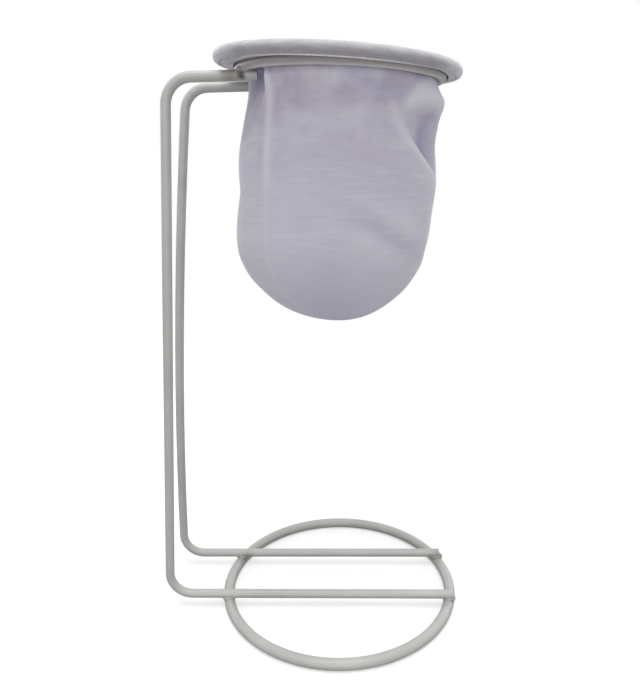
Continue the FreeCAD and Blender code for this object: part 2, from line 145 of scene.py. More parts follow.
# Where the cloth bears on the tips: start and end as multiples of the arms' distance below
# the ring, how softly it begins and ends, and half the width in degrees
TIP_GAP = 0.9
PRESS_START = 0.15
PRESS_START_SOFT = 0.35
PRESS_END = 3.0
PRESS_END_SOFT = 2.2
PRESS_WIDTH = 15

BAG_DROP = 80.3
BAG_WIDTH = 65.6
BAG_MOUTH_DEPTH = 60.0
BAG_BOTTOM_HEIGHT = 32.1
GIRTH = math.pi * BAG_WIDTH
FOLD_DEPTH = 2.6
# How the outline runs, as shares of the drop: it opens below the ring, thins from front to
# back, drifts to the uprights and closes in a rounded bottom
OPENING_DOWN = 0.16
OPENING_LENGTH = 0.06
BAG_WEDGE = 0.45
WEDGE_POWER = 1.6
BAG_DRIFT = -4.0
DRIFT_END = 0.7
DRIFT_POWER = 1.3
BOTTOM_POWER = 1.95
# Low down the centre comes back to the free side, by a step and then towards the tip
STEP_BACK = 0.85
STEP_DOWN = 0.83
STEP_LENGTH = 0.015
TIP_BACK = 1.9
TIP_DOWN = 0.88
TIP_LENGTH = 0.12
# The bag's rows follow the ring's tilt at the top and are level from here down
LEVEL_DOWN = 0.25


# Soft folds of the slack cloth, one a row: how far it stands out as a share of
# FOLD_DEPTH, its angle at the ring (0 the free side, -90 the front), the angle that it
# turns over the whole drop, its half width in degrees, and its middle and half length
# as shares of the drop.
SOFT_FOLDS = (
    (0.95, -8, 0, 26, 0.10, 0.055),
    (-0.26, 0, 0, 30, 0.27, 0.07),
    (0.20, 0, 0, 34, 0.44, 0.09),
    (0.38, 0, 0, 30, 0.775, 0.07),
    (-0.45, 180, 0, 42, 0.08, 0.10),
    (-0.25, 180, 0, 26, 0.44, 0.10),
    (-0.55, 62, 40, 10, 0.20, 0.16),
    (0.35, 100, 25, 12, 0.25, 0.20),
    (-0.45, 128, -30, 9, 0.28, 0.18),
    (-0.70, -68, 0, 19, 0.075, 0.05),
    (-0.40, -8, 0, 26, 0.062, 0.04),
    (0.22, -5, 0, 22, 0.18, 0.07),
    (-0.16, 180, 0, 34, 0.21, 0.06),
    (-0.14, 180, 0, 26, 0.445, 0.04),
)
# The pleat: its edge hangs from a corner below the ring and curls round to the free side,
# with a pocket behind it and a roll along it
CORNER_ANGLE = -57
CORNER_DOWN = 0.14
PLEAT_CURL = 650
PLEAT_TOP_LENGTH = 0.03
PLEAT_END = 0.40
PLEAT_END_LENGTH = 0.025
POCKET_DEPTH = 1.6
POCKET_EDGE = 2.0
POCKET_EDGE_SOFT = 0.8
POCKET_ANGLE = -29
POCKET_WIDTH = 15
POCKET_DOWN = 0.17
POCKET_DOWN_LENGTH = 0.022
ROLL_OUT = 0.25
ROLL_AHEAD = 2.5
ROLL_WIDTH = 4
ROLL_END = 0.34
ROLL_END_LENGTH = 0.02
# The lobe of gathered cloth above the corner: its edge leans to the free side
LOBE_TURN = -138
LOBE_OUT = 0.65
LOBE_DOWN = 0.08
LOBE_LENGTH = 0.065
LOBE_EDGE = 1
LOBE_EDGE_SOFT = 2.0
LOBE_MIDDLE = 14
LOBE_WIDTH = 26
# A shallow crease low on the front, which falls towards the free side, below a swelling
CREASE_ANGLE = -52
CREASE_WIDTH = 26
CREASE_DOWN = 0.625
CREASE_FALL = 0.0030
CREASE_REACH = 0.055
CREASE_DEPTH = 0.42
SWELLING = 0.6
# The sewn side, a narrow ridge below the front arm's tip
SEAM_ANGLE = -129.5
SEAM_LEAN = 14
SEAM_LEAN_END = 0.35
SEAM_LEAN_POWER = 6
SEAM_WIDTH = 4.0
SEAM_OUT = 0.34
SEAM_TOP = 0.02
SEAM_TOP_SOFT = 0.01
SEAM_END = 0.42
SEAM_END_SOFT = 0.05
# Small gathers below the ring, as waves round the bag: how many, their start and height
GATHERS = ((23, 40, 0.017), (37, 100, 0.014), (58, 10, 0.009))
GATHERS_END = 0.10
GATHERS_END_SOFT = 0.02


def behind_pleat(angle, down):
    """Degrees behind the pleat's edge."""
    return wrap(angle - CORNER_ANGLE - PLEAT_CURL * max(0.0, down - CORNER_DOWN) ** 2)


def pocket_share(angle, down):
    """Where the pocket behind the pleat lies, 1 at its deepest."""
    share = step(behind_pleat(angle, down), POCKET_EDGE, POCKET_EDGE_SOFT)
    share = share * step(down, POCKET_DOWN, POCKET_DOWN_LENGTH)
    return share * bump(wrap(angle - POCKET_ANGLE), POCKET_WIDTH)


def pleat(angle, down):
    """The pleat: a pocket behind an edge that curls from below the ring to the side."""
    behind = behind_pleat(angle, down)
    run = step(down, CORNER_DOWN, PLEAT_TOP_LENGTH) * step(-down, -PLEAT_END, PLEAT_END_LENGTH)
    pocket = POCKET_DEPTH * pocket_share(angle, down)
    roll = ROLL_OUT * bump(behind + ROLL_AHEAD, ROLL_WIDTH)
    return run * (roll * step(-down, -ROLL_END, ROLL_END_LENGTH) - pocket)


def lobe(angle, down):
    """The gathered slack that bulges over the front above the pleat."""
    beside = wrap(angle - CORNER_ANGLE - LOBE_TURN * (down - CORNER_DOWN))
    across = step(beside, LOBE_EDGE, LOBE_EDGE_SOFT) * bump(beside - LOBE_MIDDLE, LOBE_WIDTH)
    return LOBE_OUT * across * bump(down - LOBE_DOWN, LOBE_LENGTH)


def crease(angle, down):
    """A shallow valley below a low swelling."""
    off = wrap(angle - CREASE_ANGLE)
    below = down - CREASE_DOWN - CREASE_FALL * off
    swelling = SWELLING * bump(below + CREASE_REACH, CREASE_REACH)
    return CREASE_DEPTH * (swelling - bump(below, CREASE_REACH)) * bump(off, CREASE_WIDTH)


def side_seam(angle, down):
    """The ridge of the sewn side, which leans back under the ring."""
    run = step(-down, -SEAM_END, SEAM_END_SOFT) * step(down, SEAM_TOP, SEAM_TOP_SOFT)
    lean = SEAM_LEAN * max(0.0, 1 - down / SEAM_LEAN_END) ** SEAM_LEAN_POWER
    return SEAM_OUT * run * bump(wrap(angle - SEAM_ANGLE + lean), SEAM_WIDTH)


def gathers(angle, down):
    """The small upright ripples where the cloth leaves the ring."""
    waves = sum(high * np.sin(np.radians(count * angle + at)) for count, at, high in GATHERS)
    return waves * step(-down, -GATHERS_END, GATHERS_END_SOFT)


def folds(angle, down):
    """How far the cloth stands out at an angle, a share of the way down the bag."""
    out = pleat(angle, down) + lobe(angle, down) + crease(angle, down)
    out = out + side_seam(angle, down) + gathers(angle, down)
    for share, at_ring, turn, width, middle, reach in SOFT_FOLDS:
        across = wrap(angle - at_ring - turn * down)
        out = out + share * bump(across, width) * bump(down - middle, reach)
    return FOLD_DEPTH * out


def bag_outline(down):
    """Centre, half width and half depth of the bag, a share of the way down."""
    level = max(0.0, (down * BAG_DROP - (BAG_DROP - BAG_BOTTOM_HEIGHT)) / BAG_BOTTOM_HEIGHT)
    crown = math.sqrt(max(0.0, 1 - level**BOTTOM_POWER))
    mouth = BAG_MOUTH_DEPTH / 2
    widest = BAG_WIDTH / 2
    opened = mouth + (widest - mouth) * step(down, OPENING_DOWN, OPENING_LENGTH)
    half_depth = mouth * (1 - BAG_WEDGE * down**WEDGE_POWER) * crown
    centre = RING_CENTRE[0] + BAG_DRIFT * min(1.0, down / DRIFT_END) ** DRIFT_POWER
    to_tip = max(0.0, down - TIP_DOWN) / TIP_LENGTH
    centre += STEP_BACK * step(down, STEP_DOWN, STEP_LENGTH) + TIP_BACK * to_tip**3
    return centre, opened * crown, half_depth


def press(angle, radius, below):
    """A radius brought inside the tips of the arms, where the cloth bears on them."""
    share = step(below, ARM_BELOW_RING * PRESS_START, PRESS_START_SOFT)
    share = share * step(-below, -ARM_BELOW_RING * PRESS_END, PRESS_END_SOFT)
    for tip_angle, tip_radius in ARM_TIPS:
        room = radius - (tip_radius - TIP_GAP)
        near = np.exp(-((wrap(angle - tip_angle) / PRESS_WIDTH) ** 4))
        radius = radius - np.maximum(0.0, room) * near * share
    return radius


def ring_plane_points(angle, radius, above):
    """Points by their distance from the upper ring's centre and above its tilted plane."""
    turn = np.radians(angle)
    across = radius * np.cos(turn)
    rise = RING_SLOPE * across + above
    return RING_CENTRE + np.stack([across, radius * np.sin(turn), rise], axis=1)


def hoop_plane_points(angle, inward, above):
    """Points by their distance inside and above the hoop's centreline."""
    turn = np.radians(angle)
    radius = HOOP_DIAMETER / 2 - inward
    flat = np.stack(
        [radius * np.cos(turn), radius * np.sin(turn), np.full_like(turn, above)], axis=1
    )
    return HOOP_CENTRE + flat @ HOOP_TURN.T


def hem_points(angle, around):
    """The hem where it wraps the hoop, from below the hoop over its outside."""
    reach = HOOP_WIRE / 2 + HEM_PLAY
    turn = math.radians(around)
    above = reach * math.sin(turn) + HEM_PUFF * (1 + math.sin(turn)) / 2
    return hoop_plane_points(angle, -reach * math.cos(turn), above)


def tail_turn(angle):
    """How high on the ring's outside the hem's edge ends, in radians round the wire."""
    return np.radians(TAIL_TURN - TAIL_LOWER * bump(wrap(angle), TAIL_LOWER_WIDTH))


def tail_points(angle, share):
    """The hem's turned-in edge, drawn in from below the hoop to the ring's outside."""
    turn = tail_turn(angle)
    radius = RING_DIAMETER / 2 + TAIL_REACH * np.cos(turn)
    end = ring_plane_points(angle, radius, TAIL_REACH * np.sin(turn))
    points = hem_points(angle, HEM_START) * (1 - share) + end * share
    points[:, 2] -= TAIL_SAG * math.sin(math.pi * share)
    return points


def neck_points(angle):
    """Where the cloth leaves the hoop's inner side for the upper ring."""
    return hoop_plane_points(angle, HOOP_WIRE, NECK_ABOVE * HEM_PLAY)


def collar_points(angle, around):
    """The collar follows the ring's wire from outside over to inside."""
    reach = WIRE / 2 + SEAT_GAP
    radius = RING_DIAMETER / 2 + reach * math.cos(math.radians(around))
    above = reach * math.sin(math.radians(around))
    radius = np.full_like(angle, radius)
    if around > COLLAR_TOP:
        radius = press(angle, radius, -above)
    return ring_plane_points(angle, radius, above)


def bag_points(angle, down):
    """Points round the bag, a share of the way down."""
    centre, half_width, half_depth = bag_outline(down)
    turn = np.radians(angle)
    slack = folds(angle, down) * half_width / (BAG_WIDTH / 2)
    off_centre = centre - RING_CENTRE[0]
    across = (half_width + slack) * np.cos(turn) + off_centre
    depth = (half_depth + slack) * np.sin(turn)
    radius = np.maximum(1e-6, np.hypot(across, depth))
    seen = np.degrees(np.arctan2(depth, across))
    fall = down * BAG_DROP
    pressed = press(seen, radius, fall) / radius
    across = across * pressed
    tilted = max(0.0, 1 - down / LEVEL_DOWN)
    rise = RING_SLOPE * across * tilted - fall
    return RING_CENTRE + np.stack([across, depth * pressed, rise], axis=1)


def smooth_rows(rows, spacing):
    """Rows at about even steps on smooth curves through the given rows."""
    steps = [float(np.linalg.norm(b - a, axis=1).mean()) for a, b in zip(rows, rows[1:])]
    knots = np.concatenate([[0], np.cumsum(np.sqrt(np.maximum(steps, 1e-4)))])
    made = []
    last = len(rows) - 1
    for i, length in enumerate(steps):
        before, after = max(i - 1, 0), min(i + 2, last)
        span = knots[i + 1] - knots[i]
        slope_a = (rows[i + 1] - rows[before]) / (knots[i + 1] - knots[before])
        slope_b = (rows[after] - rows[i]) / (knots[after] - knots[i])
        count = max(1, round(length / spacing))
        for t in np.arange(count) / count:
            a, b = (1 + 2 * t) * (1 - t) ** 2, t * t * (3 - 2 * t)
            c, d = t * (1 - t) ** 2, t * t * (t - 1)
            made.append(a * rows[i] + b * rows[i + 1] + span * (c * slope_a + d * slope_b))
    made.append(rows[-1])
    return made


# The cloth's grid: points in a row, the spacing of rows, where the bag's rows begin and how
# many there are above and in its rounded bottom
AROUND = 256
HEM_SPACING = 0.5
BAG_SPACING = 0.85
BAG_START = 0.02
STRAIGHT_ROWS = 56
BOTTOM_ROWS = 44


def filter_rows():
    """Closed rows of points from the hem's inner edge to near the bag's lowest point.

    Also returns each row's share of the way down the bag and how many belong to the hem.
    """
    angle = np.arange(AROUND) * 360 / AROUND
    hem_turns = range(HEM_START, HEM_END + 1, WRAP_STEP)
    collar_turns = range(COLLAR_START, COLLAR_END + 1, WRAP_STEP)
    hem = [tail_points(angle, share) for share in TAIL_SHARES]
    hem += [hem_points(angle, around) for around in hem_turns]
    hem += [neck_points(angle)]
    collar = [collar_points(angle, around) for around in collar_turns]
    straight = 1 - BAG_BOTTOM_HEIGHT / BAG_DROP
    run = straight - BAG_START
    levels = [BAG_START + run * i / STRAIGHT_ROWS for i in range(STRAIGHT_ROWS)]
    turns = [math.pi / 2 * i / BOTTOM_ROWS for i in range(BOTTOM_ROWS)]
    levels += [straight + (1 - straight) * math.sin(turn) for turn in turns]
    bag = [bag_points(angle, down) for down in levels]
    top = smooth_rows(hem + collar + bag[:2], HEM_SPACING)
    downs = [0.0] * len(top) + levels[2:]
    return top + bag[2:], downs, len(smooth_rows(hem, HEM_SPACING)) + 2


def blurred(values, around, along):
    """Values on the rows' grid, averaged round the bag and along it."""
    columns = np.arange(AROUND)
    offset = np.minimum(columns, AROUND - columns) * 360 / AROUND
    window = bump(offset, around)
    spectrum = np.fft.rfft(window / window.sum())
    smooth = np.fft.irfft(np.fft.rfft(values, axis=1) * spectrum, n=AROUND, axis=1)
    reach = round(3 * along / BAG_SPACING)
    window = bump(np.arange(-reach, reach + 1) * BAG_SPACING, along)
    window /= window.sum()
    padded = np.pad(smooth, ((reach, reach), (0, 0)), mode="edge")
    return sum(w * padded[i : i + len(values)] for i, w in enumerate(window))


# Narrow and wide folds are told apart by averages over so many degrees round the bag and
# millimetres along it, and count by these weights
NARROW_FOLD = (5, 2.0)
WIDE_FOLD = (15, 7.0)
NARROW_WEIGHT = 1.3
WIDE_WEIGHT = 0.7


def hollows(rows):
    """How deep each point lies in a fold, in millimetres, less than 0 on a ridge."""
    points = np.stack(rows)
    centre = points.mean(axis=1, keepdims=True)
    radius = np.hypot(*np.moveaxis((points - centre)[:, :, :2], 2, 0))
    narrow = blurred(radius, *NARROW_FOLD) - radius
    wide = blurred(radius, *WIDE_FOLD) - radius
    return NARROW_WEIGHT * narrow + WIDE_WEIGHT * wide


# Painted shade added to the fold depth in the valley behind the pleat, and painted light taken
# from it on the lobe and just under the ring
POCKET_SHADE = 0.35
POCKET_SHADE_ANGLE = -22
POCKET_SHADE_WIDTH = 10
POCKET_SHADE_END = 0.36
POCKET_SHADE_END_SOFT = 0.02
LOBE_LIGHT = 1.3
UNDER_RING_LIGHT = 1.9
UNDER_RING_LIGHT_LENGTH = 2.2


def link_mesh(name, points, faces):
    """A smooth mesh piece in the scene, from points in metres."""
    mesh = bpy.data.meshes.new(name)
    mesh.from_pydata([tuple(p) for p in points], [], faces)
    obj = bpy.data.objects.new(name, mesh)
    bpy.context.collection.objects.link(obj)
    mesh.polygons.foreach_set("use_smooth", [True] * len(faces))
    return obj


def make_filter():
    """The filter's cloth, one surface from the hem's inner edge to the bag's lowest point."""
    rows, downs, hem_rows = filter_rows()
    count = AROUND
    low_point = bag_points(np.array([0.0]), 1.0)[0]
    low_point[0] = rows[-1][:, 0].mean()
    points = np.concatenate(rows + [low_point[None]]) * MM
    faces = []
    for r in range(len(rows) - 1):
        for i in range(count):
            j = (i + 1) % count
            faces.append((r * count + i, r * count + j, (r + 1) * count + j, (r + 1) * count + i))
    tip = len(points) - 1
    ring = (len(rows) - 1) * count
    faces += [(ring + i, ring + (i + 1) % count, tip) for i in range(count)]
    bag = link_mesh("filter_cloth_bag", points, faces)
    hem_faces = (hem_rows - 1) * count
    bag.data.materials.append(None)
    bag.data.materials.append(None)
    bag.data.polygons.foreach_set(
        "material_index", [0 if i < hem_faces else 1 for i in range(len(faces))]
    )
    lay_out(bag, rows, low_point)
    # the depth in the folds, with the painted shade and light above; the cloth darkens with it in
    # folds and pales on ridges
    depth = hollows(rows)
    angle = np.arange(AROUND) * 360 / AROUND
    for row, down in enumerate(downs):
        if down > 0:
            valley = pocket_share(angle, down) * bump(wrap(angle - POCKET_SHADE_ANGLE), POCKET_SHADE_WIDTH)
            depth[row] += POCKET_SHADE * valley * step(-down, -POCKET_SHADE_END, POCKET_SHADE_END_SOFT)
            depth[row] -= LOBE_LIGHT * lobe(angle, down)
            depth[row] -= UNDER_RING_LIGHT * math.exp(-down * BAG_DROP / UNDER_RING_LIGHT_LENGTH)
    depth[:hem_rows] = 0
    fold_shading = bag.data.attributes.new("fold_shading", "FLOAT", "POINT")
    fold_shading.data.foreach_set("value", np.append(depth.ravel(), 0.0))
    solidify = bag.modifiers.new("thickness", "SOLIDIFY")
    solidify.thickness = CLOTH * MM
    solidify.offset = 1
    solidify.use_even_offset = False
    return bag


# The hem's stitched edge hangs free below the hoop in front, and lies against the upper
# ring at the sides and back
BINDING_IN = 0.2
BINDING_BELOW = 1.42
BINDING_WIDTH = 0.5
BINDING_HEIGHT = 0.5
BINDING_FRONT = 52
BINDING_FRONT_SOFT = 9
BINDING_SEAT = 2.35
BINDING_UNDER_TAIL = 8
BINDING_SIDES = 10
STITCHES = 124
STITCH_POINTS = 6
STITCH_DEPTH = 0.10


def make_binding():
    """The stitched edge that closes the hem below the hoop."""
    count = STITCHES * STITCH_POINTS
    sides = BINDING_SIDES
    angle = np.arange(count) * 360 / count
    held = 1 - STITCH_DEPTH * bump(np.arange(count) % STITCH_POINTS - STITCH_POINTS / 2, 1.0)
    rings = []
    beside = step(np.abs(wrap(angle - FRONT)), BINDING_FRONT, BINDING_FRONT_SOFT)
    seat = tail_turn(angle) - math.radians(BINDING_UNDER_TAIL)
    for side in range(sides):
        turn = 2 * math.pi * side / sides
        inward = BINDING_WIDTH * math.cos(turn) * held
        above = BINDING_HEIGHT * math.sin(turn) * held
        free = hoop_plane_points(angle, BINDING_IN + inward, above - BINDING_BELOW)
        radius = RING_DIAMETER / 2 + BINDING_SEAT * np.cos(seat) - inward
        seated = ring_plane_points(angle, radius, BINDING_SEAT * np.sin(seat) + above)
        rings.append(free + (seated - free) * beside[:, None])
    faces = []
    for s in range(sides):
        for i in range(count):
            a, b = s * count, (s + 1) % sides * count
            j = (i + 1) % count
            faces.append((a + i, b + i, b + j, a + j))
    return link_mesh("hem_binding", np.concatenate(rings) * MM, faces)


def lay_out(bag, rows, low_point):
    """A map in millimetres on the cloth: once round, and along from hem to bottom."""
    steps = [np.linalg.norm(b - a, axis=1).mean() for a, b in zip(rows, rows[1:])]
    steps.append(np.linalg.norm(rows[-1] - low_point, axis=1).mean())
    along = np.concatenate([[0], np.cumsum(steps)])
    mesh = bag.data
    layer = mesh.uv_layers.new(name="cloth")
    vertex = np.empty(len(mesh.loops), dtype=np.int64)
    mesh.loops.foreach_get("vertex_index", vertex)
    row, column = vertex // AROUND, vertex % AROUND
    u = column / AROUND
    starts = np.empty(len(mesh.polygons), dtype=np.int64)
    totals = np.empty(len(mesh.polygons), dtype=np.int64)
    mesh.polygons.foreach_get("loop_start", starts)
    mesh.polygons.foreach_get("loop_total", totals)
    face = np.repeat(np.arange(len(starts)), totals)
    last_column = np.maximum.reduceat(column, starts)[face] == AROUND - 1
    u = np.where(last_column & (column == 0), 1.0, u)
    tip = vertex == len(mesh.vertices) - 1
    u = np.where(tip, (np.add.reduceat(np.where(tip, 0, u), starts) / 2)[face], u)
    v = along[np.minimum(row, len(along) - 1)]
    layer.data.foreach_set("uv", np.stack([u * GIRTH, v], axis=1).ravel())


bag = make_filter()
binding = make_binding()
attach(bag, "root")
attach(binding, "root")
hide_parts("filter_bag")


# Materials


def srgb(red, green, blue):
    """A colour as seen, 0 to 255, as linear values."""

    def linear(value):
        share = value / 255
        return share / 12.92 if share <= 0.04045 else ((share + 0.055) / 1.055) ** 2.4

    return (linear(red), linear(green), linear(blue), 1.0)


def grey(value):
    return (value, value, value, 1)


WHITE = grey(1.0)
BLACK = grey(0.0)


class Nodes:
    """A material and short ways to add to it."""

    def __init__(self, name):
        self.material = bpy.data.materials.new(name)
        self.material.use_nodes = True
        self.tree = self.material.node_tree
        self.tree.nodes.clear()
        self.output = self.tree.nodes.new("ShaderNodeOutputMaterial")

    def add(self, kind, inputs=(), **settings):
        node = self.tree.nodes.new("ShaderNode" + kind)
        for key, value in settings.items():
            setattr(node, key, value)
        for key, value in dict(inputs).items():
            self.put(node, key, value)
        return node

    def put(self, node, key, value):
        socket = node.inputs[key]
        if isinstance(value, bpy.types.NodeSocket):
            self.tree.links.new(value, socket)
        else:
            socket.default_value = value

    def coordinates(self, scale=(1, 1, 1)):
        place = self.add("TexCoord").outputs["Object"]
        return self.add("Mapping", {"Vector": place, "Scale": scale}).outputs["Vector"]

    def cloth_map(self, scale=(1, 1, 1)):
        place = self.add("UVMap", uv_map="cloth").outputs["UV"]
        return self.add("Mapping", {"Vector": place, "Scale": scale}).outputs["Vector"]

    def noise(self, vector, scale, detail=3.0, roughness=0.5):
        node = self.add(
            "TexNoise",
            {"Vector": vector, "Scale": scale, "Detail": detail, "Roughness": roughness},
        )
        return node.outputs["Fac"]

    def ramp(self, factor, stops):
        node = self.add("ValToRGB", {"Fac": factor})
        elements = node.color_ramp.elements
        while len(elements) < len(stops):
            elements.new(0.5)
        for element, (place, colour) in zip(elements, stops):
            element.position = place
            element.color = colour
        return node.outputs["Color"]

    def mix(self, factor, a, b, blend="MIX"):
        node = self.add("Mix", data_type="RGBA", blend_type=blend)
        self.put(node, 0, factor)
        self.put(node, 6, a)
        self.put(node, 7, b)
        return node.outputs[2]

    def math(self, operation, a, b=0.0, clamp=False):
        node = self.add("Math", operation=operation, use_clamp=clamp)
        self.put(node, 0, a)
        self.put(node, 1, b)
        return node.outputs[0]

    def bump(self, height, distance, strength=1.0, normal=None):
        inputs = {"Height": height, "Distance": distance, "Strength": strength}
        if normal is not None:
            inputs["Normal"] = normal
        return self.add("Bump", inputs).outputs["Normal"]

    def between(self, value, low, high):
        """From 0 to 1 as a value goes from low to high."""
        node = self.add("MapRange", {"Value": value, "From Min": low, "From Max": high})
        return node.outputs["Result"]

    def finish(self, shader):
        self.tree.links.new(shader, self.output.inputs["Surface"])
        return self.material


# Dark patches laid over the paint: place and reach in millimetres, share and colour. A brownish
# patch and a dark spot on the front arm where the upper ring crosses it, a darker patch on the
# rear upright, and painted shade at the weld webs where the rear rails cross the foot ring
DARK_PATCHES = (
    ((-29.4, -14.4, 189.8), 5.0, 0.75, (138, 122, 113)),
    ((-26.3, -14.6, 189.4), 1.8, 1.0, (56, 48, 52)),
    ((-52.5, 12.3, 159.0), 4.5, 0.35, (150, 148, 138)),
    # painted shade at the weld webs where the rear rails cross the foot ring
    ((41.6, 13.2, 5.8), 4.5, 0.5, (128, 126, 120)),
    ((-38.8, 12.6, 4.6), 4.5, 0.55, (122, 118, 108)),
)
# The share of a patch's reach in which it is full, and how fine its uneven edge is
PATCH_CORE = 0.15
PATCH_GRAIN = 700


def with_dark_patches(n, base, place):
    """The dark patches laid over a colour, with uneven edges; the two at the weld webs are
    painted shade.
    """
    for (x, y, z), reach, share, colour in DARK_PATCHES:
        spot = (x * MM, y * MM, z * MM)
        off = n.add("VectorMath", {0: place, 1: spot}, operation="DISTANCE").outputs["Value"]
        ragged = n.math("SUBTRACT", n.noise(place, PATCH_GRAIN / reach, 3), 0.5)
        off = n.math("ADD", off, n.math("MULTIPLY", ragged, reach * MM))
        spread = n.between(off, reach * MM, PATCH_CORE * reach * MM)
        patch = n.math("MULTIPLY", spread, share)
        # each patch darkens the paint; the two at the weld webs are painted shade
        base = n.mix(patch, base, srgb(*colour))
    return base


def painted(n, base, rough, normal):
    """Satin paint with a thin gloss over it."""
    shader = n.add(
        "BsdfPrincipled",
        {
            "Base Color": base,
            "Roughness": rough,
            "Normal": normal,
            "Specular IOR Level": 0.5,
            "Coat Weight": 0.12,
            "Coat Roughness": 0.3,
        },
    )
    return n.finish(shader.outputs["BSDF"])


def paint(name, colour, shade, wear):
    """White paint baked on wire: slight orange peel, sags and dust in the corners."""
    n = Nodes(name)
    place = n.coordinates()
    drift = n.noise(place, 45, 4)
    specks = n.noise(place, 900, 2)
    base = n.ramp(drift, [(0.30, shade), (0.68, colour)])
    dirt = n.ramp(specks, [(0.70, BLACK), (0.82, WHITE)])
    base = n.mix(n.math("MULTIPLY", dirt, wear), base, srgb(126, 122, 112))
    # dark patches, two of them painted shade at the weld webs
    base = with_dark_patches(n, base, place)
    peel = n.noise(place, 420, 3, 0.55)
    runs = n.noise(place, 120, 2)
    normal = n.bump(runs, 0.0006, 0.35)
    normal = n.bump(peel, 0.00012, 0.5, normal)
    rough = n.add("MapRange", {"Value": drift, "To Min": 0.36, "To Max": 0.5})
    return painted(n, base, rough.outputs["Result"], normal)


def ring_paint(name):
    """The upper ring's paint, darker on top as painted shade under the hem, and paler below as a
    painted reflection of the pale floor.
    """
    n = Nodes(name)
    place = n.add("TexCoord").outputs["Object"]
    axes = n.add("SeparateXYZ", {0: place})
    across = n.math("SUBTRACT", axes.outputs["X"], RING_CENTRE[0] * MM)
    level = n.math("ADD", n.math("MULTIPLY", across, RING_SLOPE), RING_CENTRE[2] * MM)
    above = n.math("SUBTRACT", axes.outputs["Z"], level)
    uneven = n.math("MULTIPLY", n.math("SUBTRACT", n.noise(place, 90, 3), 0.5), 0.0008)
    above = n.math("ADD", above, uneven)
    # painted shade on the ring's top under the hem, painted reflection of the floor on its lower
    # side
    top = n.between(above, -0.0016, -0.0010)
    drift = n.noise(place, 45, 4)
    lit_below = n.ramp(drift, [(0.30, srgb(205, 205, 199)), (0.68, srgb(214, 214, 209))])
    shaded_top = n.ramp(drift, [(0.30, srgb(166, 161, 160)), (0.68, srgb(176, 171, 170))])
    base = n.mix(top, lit_below, shaded_top)
    peel = n.noise(place, 420, 3, 0.55)
    return painted(n, base, 0.42, n.bump(peel, 0.00012, 0.5))


def steel(name):
    """Plain drawn wire, a little streaked."""
    n = Nodes(name)
    place = n.coordinates()
    drawn = n.noise(n.coordinates((1, 1, 14)), 300, 3)
    drift = n.noise(place, 60)
    base = n.ramp(drift, [(0.3, srgb(150, 150, 148)), (0.7, srgb(186, 186, 184))])
    rough = n.add("MapRange", {"Value": drawn, "To Min": 0.28, "To Max": 0.45})
    shader = n.add(
        "BsdfPrincipled",
        {
            "Base Color": base,
            "Metallic": 1.0,
            "Roughness": rough.outputs["Result"],
            "Normal": n.bump(drawn, 0.00005, 0.5),
        },
    )
    return n.finish(shader.outputs["BSDF"])


def knit(n, place, streaks):
    """The surface of brushed jersey: uneven rows of loops under a soft fluff."""
    wander = n.noise(n.cloth_map((0.35, 0.35, 1)), 1.0, 2)
    along = n.add("VectorMath", {0: n.cloth_map(), 1: wander}, operation="ADD").outputs[0]
    wale = n.add(
        "TexWave",
        {"Vector": along, "Scale": 0.42, "Distortion": 3.0, "Detail": 2.0, "Detail Scale": 2.0},
        bands_direction="X",
    )
    course = n.add(
        "TexWave",
        {"Vector": along, "Scale": 0.6, "Distortion": 3.0, "Detail": 2.0, "Detail Scale": 2.0},
        bands_direction="Y",
    )
    loops = n.math("MULTIPLY", wale.outputs["Fac"], course.outputs["Fac"])
    fluff = n.noise(place, 1500, 3, 0.7)
    normal = n.bump(loops, 0.00010, 0.35)
    normal = n.bump(fluff, 0.00010, 0.6, normal)
    return n.bump(streaks, 0.00012, 0.25, normal)


def fabric(n, base, normal):
    """Matt cotton with a soft sheen of fluff at its edges."""
    shader = n.add(
        "BsdfPrincipled",
        {
            "Base Color": base,
            "Roughness": 0.95,
            "Specular IOR Level": 0.15,
            "Sheen Weight": 0.6,
            "Sheen Roughness": 0.4,
            "Sheen Tint": srgb(232, 231, 238),
            "Normal": normal,
        },
    )
    return n.finish(shader.outputs["BSDF"])


# Heights in millimetres between which the bag's stained top and its darker bottom, which is
# painted shade, fade in, and the half widths of the seam's pale stripe, a painted highlight, at
# its soft edge and where it is full
STAIN_BOTTOM = 160
STAIN_TOP = 188
DARK_TOP = 150
DARK_BOTTOM = 118
STRIPE_OUTSIDE = 1.2
STRIPE_INSIDE = 0.3


